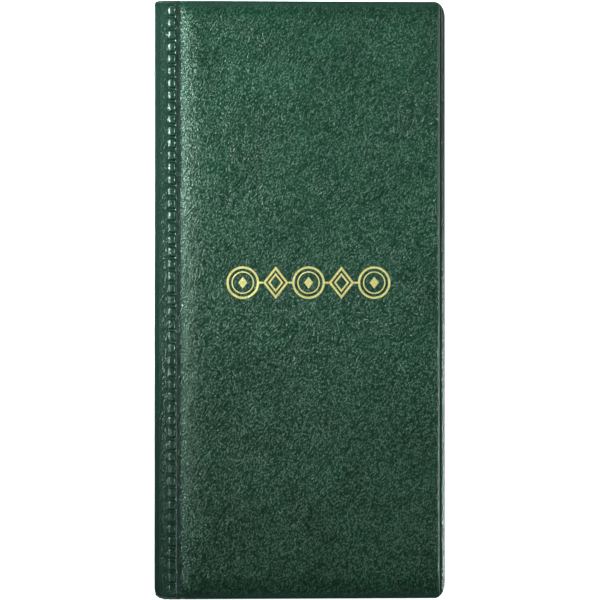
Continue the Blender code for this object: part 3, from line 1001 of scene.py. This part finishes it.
def green_vinyl():
    """Semi-gloss dark green PVC with a pressed leather grain."""
    f = Finish("green_vinyl")
    plain = f.sheet_mm()
    slanted = f.sheet_mm(GRAIN_TURN, (1.0, 0.45, 1.0))
    kept = f.node("Attribute", attribute_name="grain").outputs["Fac"]
    scuffed_and_lit = f.node("Attribute", attribute_name="scuff_and_highlight").outputs["Fac"]
    grain = pebbles(f, PEBBLE, GRAIN_TURN, 2.1, 0.4)
    fine = f.noise(slanted, 0.34, 3.0, 0.6)
    cloud = f.noise(plain, 19, 3.0, 0.55, 0.4)
    tone = f.ramp(cloud, (0.3, (0.0085, 0.042, 0.024)), (0.7, (0.0115, 0.054, 0.031)))
    # Darker in the grain's valleys and lighter on the pebble tops: painted shade and painted highlight.
    valley = f.ramp(grain, (0.3, 0.5), (0.6, 0.85), (0.85, 1.5))
    # Pressed, smooth places get a darker, bluer tone; along the strip's spine edge and the panel's ends
    # this darkening is painted shade.
    flat = f.ramp(kept, (0.0, (0.46, 0.48, 0.56)), (0.75, (0.58, 0.60, 0.72)))
    pressed = f.mix(1.0, tone, flat, "MULTIPLY")
    leathery = f.ramp(kept, (0.75, 0.0), (0.98, 1.0))
    lines = [f.math("MULTIPLY", wrinkles(f, turn, seed), leathery) for turn, seed, _ in WRINKLES]
    # Painted shade along the wrinkle lines, in the colour and in the specular level.
    wrinkle_shade = f.ramp(f.math("MAXIMUM", *lines), (0.0, 1.0), (1.0, 0.68))
    valley = f.mix(1.0, valley, wrinkle_shade, "MULTIPLY")
    tone = f.mix(leathery, pressed, f.mix(1.0, tone, valley, "MULTIPLY"))
    # Lighter green on the scuffed shoulders and dash tops: partly scuffing, partly painted highlight.
    scuff_and_sheen = f.math("MULTIPLY", scuffed_and_lit, f.noise(plain, 3.5, 3.0, 0.7))
    tone = f.mix(f.math("MULTIPLY", scuff_and_sheen, 0.5), tone, (0.032, 0.092, 0.062))
    f.to_shader("Base Color", tone)
    shine = f.mix(1.0, f.ramp(grain, (0.3, 0.16), (0.6, 0.34), (0.85, 0.95)), wrinkle_shade, "MULTIPLY")
    f.to_shader("Specular IOR Level", f.mix(leathery, (0.4, 0.4, 0.4), shine))
    gloss = f.ramp(f.noise(plain, 6, 3.0, 0.6), (0.3, 0.27), (0.7, 0.33))
    gloss = f.mix(f.ramp(kept, (0.3, 0.75), (0.6, 0.0)), gloss, (0.19, 0.19, 0.19))
    f.to_shader("Roughness", f.mix(f.math("MULTIPLY", scuffed_and_lit, 0.9), gloss, (0.2, 0.2, 0.2)))
    low = f.bump(f.noise(slanted, 2.4, 2.0, 0.5, 0.6), 0.12)
    for line, (_, _, depth) in zip(lines, WRINKLES):
        low = f.bump(f.math("SUBTRACT", 1.0, line), depth, 1.0, low)
    level = f.math("SUBTRACT", grain, GRAIN_LEVEL)
    mid = f.bump(f.math("MULTIPLY", level, kept), 0.28, 1.0, low)
    f.to_shader("Normal", f.bump(f.math("MULTIPLY", fine, kept), 0.06, 1.0, mid))
    return f.material


def inner_vinyl():
    """The darker, flatter vinyl of the lining, with a fine even grain."""
    f = Finish("inner_vinyl", roughness=0.5)
    plain = f.sheet_mm()
    grain = pebbles(f, 0.62, 20, 1.1, 0.5)
    cloud = f.noise(plain, 24, 3.0, 0.5)
    tone = f.ramp(cloud, (0.3, (0.013, 0.046, 0.029)), (0.7, (0.018, 0.060, 0.038)))
    # Darker in the grain's valleys: painted shade.
    f.to_shader("Base Color", f.mix(1.0, tone, f.ramp(grain, (0.3, 0.7), (0.7, 1.0)), "MULTIPLY"))
    f.to_shader("Roughness", f.ramp(f.noise(plain, 5), (0.3, 0.44), (0.7, 0.55)))
    f.to_shader("Normal", f.bump(grain, 0.12))
    return f.material


def clear_film():
    """Slightly cloudy PVC film, denser where it is welded."""
    f = Finish("clear_film", roughness=0.16, ior=1.5, specular_ior_level=0.3)
    place = f.object_mm()
    cloud = f.noise(place, 22, 3.0, 0.6)
    weld = f.node("Attribute", attribute_name="weld").outputs["Fac"]
    f.to_shader("Base Color", f.ramp(cloud, (0.3, (0.66, 0.72, 0.75)), (0.7, (0.78, 0.83, 0.85))))
    haze = f.ramp(cloud, (0.3, 0.035), (0.7, 0.06))
    f.to_shader("Alpha", f.math("ADD", f.math("MULTIPLY", weld, 0.26), haze))
    f.to_shader("Roughness", f.ramp(weld, (0.0, 0.14), (1.0, 0.4)))
    ripple = f.noise(place, 14, 2.0, 0.5, 0.5)
    press = f.node("TexWave", {"Vector": place, "Scale": 0.62, "Distortion": 0.0}).outputs["Fac"]
    pressed = f.math("MULTIPLY", press, weld)
    f.to_shader("Normal", f.bump(pressed, 0.08, 1.0, f.bump(ripple, 0.3, 0.6)))
    return f.material


def gold_foil():
    """Hot-stamped foil that picks up the grain under it."""
    f = Finish("gold_foil", metallic=1.0)
    place = f.sheet_mm()
    fleck_glint = f.noise(place, 0.62, 4.0, 0.75)
    # Flecked from dark to pale gold; the near-white flecks are painted glints.
    dark, deep = (0.6, 0.36, 0.07), (1.0, 0.72, 0.22)
    warm, pale = (1.0, 0.92, 0.45), (1.0, 1.0, 0.8)
    tone = f.ramp(fleck_glint, (0.3, dark), (0.42, deep), (0.56, warm), (0.72, pale))
    f.to_shader("Base Color", tone)
    f.to_shader("Roughness", f.ramp(fleck_glint, (0.3, 0.48), (0.6, 0.38)))
    f.to_shader("Normal", f.bump(f.noise(place, 0.8, 3.0, 0.6), 0.22))
    return f.material


def padding_foam():
    """Open-cell foam: pale, matt and full of small pits."""
    f = Finish("padding_foam", roughness=0.95)
    place = f.object_mm()
    cells = f.node("TexVoronoi", {"Vector": place, "Scale": 1.6}).outputs["Distance"]
    cloud = f.noise(place, 12, 2.0)
    tone = f.ramp(cloud, (0.3, (0.70, 0.66, 0.55)), (0.7, (0.78, 0.75, 0.66)))
    # Darker in the foam's cell pits: painted shade.
    f.to_shader("Base Color", f.mix(1.0, tone, f.ramp(cells, (0.1, 0.72), (0.6, 1.0)), "MULTIPLY"))
    f.to_shader("Roughness", f.ramp(cloud, (0.3, 0.9), (0.7, 1.0)))
    f.to_shader("Normal", f.bump(cells, 0.25))
    return f.material


def grey_board():
    """Grey millboard with pale and dark fibres."""
    f = Finish("grey_board", roughness=0.9)
    place = f.object_mm()
    stretched = f.node("Mapping", {"Vector": place, "Scale": (0.3, 1.6, 1.0)}).outputs[0]
    fibre = f.noise(stretched, 0.8, 5.0, 0.7, 0.8)
    dark, middle, pale = (0.20, 0.18, 0.155), (0.33, 0.305, 0.265), (0.45, 0.42, 0.37)
    f.to_shader("Base Color", f.ramp(fibre, (0.3, dark), (0.5, middle), (0.72, pale)))
    f.to_shader("Roughness", f.ramp(fibre, (0.3, 0.95), (0.7, 0.82)))
    f.to_shader("Normal", f.bump(fibre, 0.05))
    return f.material


def binding_tape():
    """Woven cotton tape, off-white with a plain weave."""
    f = Finish("binding_tape", roughness=0.9)
    place = f.object_mm()
    warp = f.node("TexWave", {"Vector": place, "Scale": 0.55}, bands_direction="Y").outputs["Fac"]
    weft = f.node("TexWave", {"Vector": place, "Scale": 0.55}, bands_direction="Z").outputs["Fac"]
    weave = f.math("MAXIMUM", warp, weft)
    f.to_shader("Base Color", f.ramp(weave, (0.2, (0.42, 0.40, 0.34)), (0.9, (0.68, 0.66, 0.58))))
    f.to_shader("Roughness", f.ramp(f.noise(place, 4), (0.3, 0.85), (0.7, 0.95)))
    f.to_shader("Normal", f.bump(weave, 0.08))
    return f.material


def dress_node(node, finish):
    """Gives a CAD node that stays a better material."""
    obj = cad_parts[node]
    if not obj.material_slots:
        obj.data.materials.append(finish)
    for slot in obj.material_slots:
        slot.material = finish


# The scene


def area_light(name, place, target, size, power, colour, spread_deg):
    data = bpy.data.lights.new(name, "AREA")
    data.shape = "RECTANGLE"
    data.size, data.size_y = size
    data.energy = power
    data.color = colour
    data.spread = math.radians(spread_deg)
    light = bpy.data.objects.new(name, data)
    bpy.context.scene.collection.objects.link(light)
    light.location = place
    toward = Vector(target) - Vector(light.location)
    light.rotation_euler = toward.to_track_quat("-Z", "Y").to_euler()


def pale_world():
    """A soft white room: pale at the horizon, dim above it, lighter overhead."""
    world = bpy.data.worlds.new("studio")
    bpy.context.scene.world = world
    world.use_nodes = True
    tree = world.node_tree
    back = tree.nodes["Background"]
    coord = tree.nodes.new("ShaderNodeTexCoord")
    split = tree.nodes.new("ShaderNodeSeparateXYZ")
    tree.links.new(coord.outputs["Generated"], split.inputs[0])
    height = tree.nodes.new("ShaderNodeValToRGB")
    elements = height.color_ramp.elements
    while len(elements) < len(WORLD_BY_HEIGHT):
        elements.new(0.5)
    for element, (place, value) in zip(elements, WORLD_BY_HEIGHT):
        element.position = place
        element.color = (value, value, value, 1)
    tree.links.new(split.outputs["Z"], height.inputs[0])
    tree.links.new(height.outputs[0], back.inputs["Strength"])
    back.inputs["Color"].default_value = WORLD_TINT


def pale_floor():
    mesh = bpy.data.meshes.new("floor")
    cage = bmesh.new()
    bmesh.ops.create_grid(cage, x_segments=2, y_segments=2, size=FLOOR_HALF)
    cage.to_mesh(mesh)
    cage.free()
    floor = bpy.data.objects.new("floor", mesh)
    bpy.context.scene.collection.objects.link(floor)
    f = Finish("floor_paper", roughness=0.8)
    f.shader.inputs["Base Color"].default_value = (0.93, 0.93, 0.93, 1)
    f.shader.inputs["Emission Color"].default_value = (1, 1, 1, 1)
    f.shader.inputs["Emission Strength"].default_value = FLOOR_GLOW
    mesh.materials.append(f.material)


def camera():
    data = bpy.data.cameras.new("camera")
    data.sensor_width = SENSOR
    data.lens = SENSOR * CAMERA_HEIGHT / FRAME_WIDTH
    data.clip_end = 20
    cam = bpy.data.objects.new("camera", data)
    bpy.context.scene.collection.objects.link(cam)
    middle = (CAD_BOX[0] + CAD_BOX[1]) / 2
    cam.location = (middle.x - CAMERA_LEFT, middle.y, TOP_Z * MM + CAMERA_HEIGHT)
    cam.rotation_euler.y = -math.atan(CAMERA_LEFT / CAMERA_HEIGHT)
    bpy.context.scene.camera = cam


def studio():
    pale_world()
    pale_floor()
    camera()
    for light in LIGHTS:
        area_light(*light)
    bpy.context.scene.view_settings.view_transform = "Standard"


def build():
    green, inner, film = green_vinyl(), inner_vinyl(), clear_film()
    foam, board = padding_foam(), grey_board()
    front_skin = cover_skin("front_cover_vinyl", "front", green, mirrored=False)
    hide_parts("front_cover_skin", "spine_skin")
    back_skin = cover_skin("back_cover_vinyl", "back", green, mirrored=True)
    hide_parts("back_cover_skin")
    front_lining = cover_lining("front_cover_inside", "front", inner, mirrored=True)
    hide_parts("front_cover_lining", "spine_lining")
    back_lining = cover_lining("back_cover_inside", "back", inner, mirrored=False)
    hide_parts("back_cover_lining")
    foam_pad("front_cover_pad", "front_cover_foam_pad", foam, "front_cover")
    foam_pad("back_cover_pad", "back_cover_foam_pad", foam, "back_cover")
    for node in ("front_cover_board", "back_cover_board", "spine_board"):
        dress_node(node, board)
    dress_node("leaf_binding_tape", binding_tape())
    welded_margins(film)
    for number in range(1, LEAVES + 1):
        backing_film(number, film)
        pocket_film(number, film)
    foil_ornament(gold_foil())
    studio()


build()
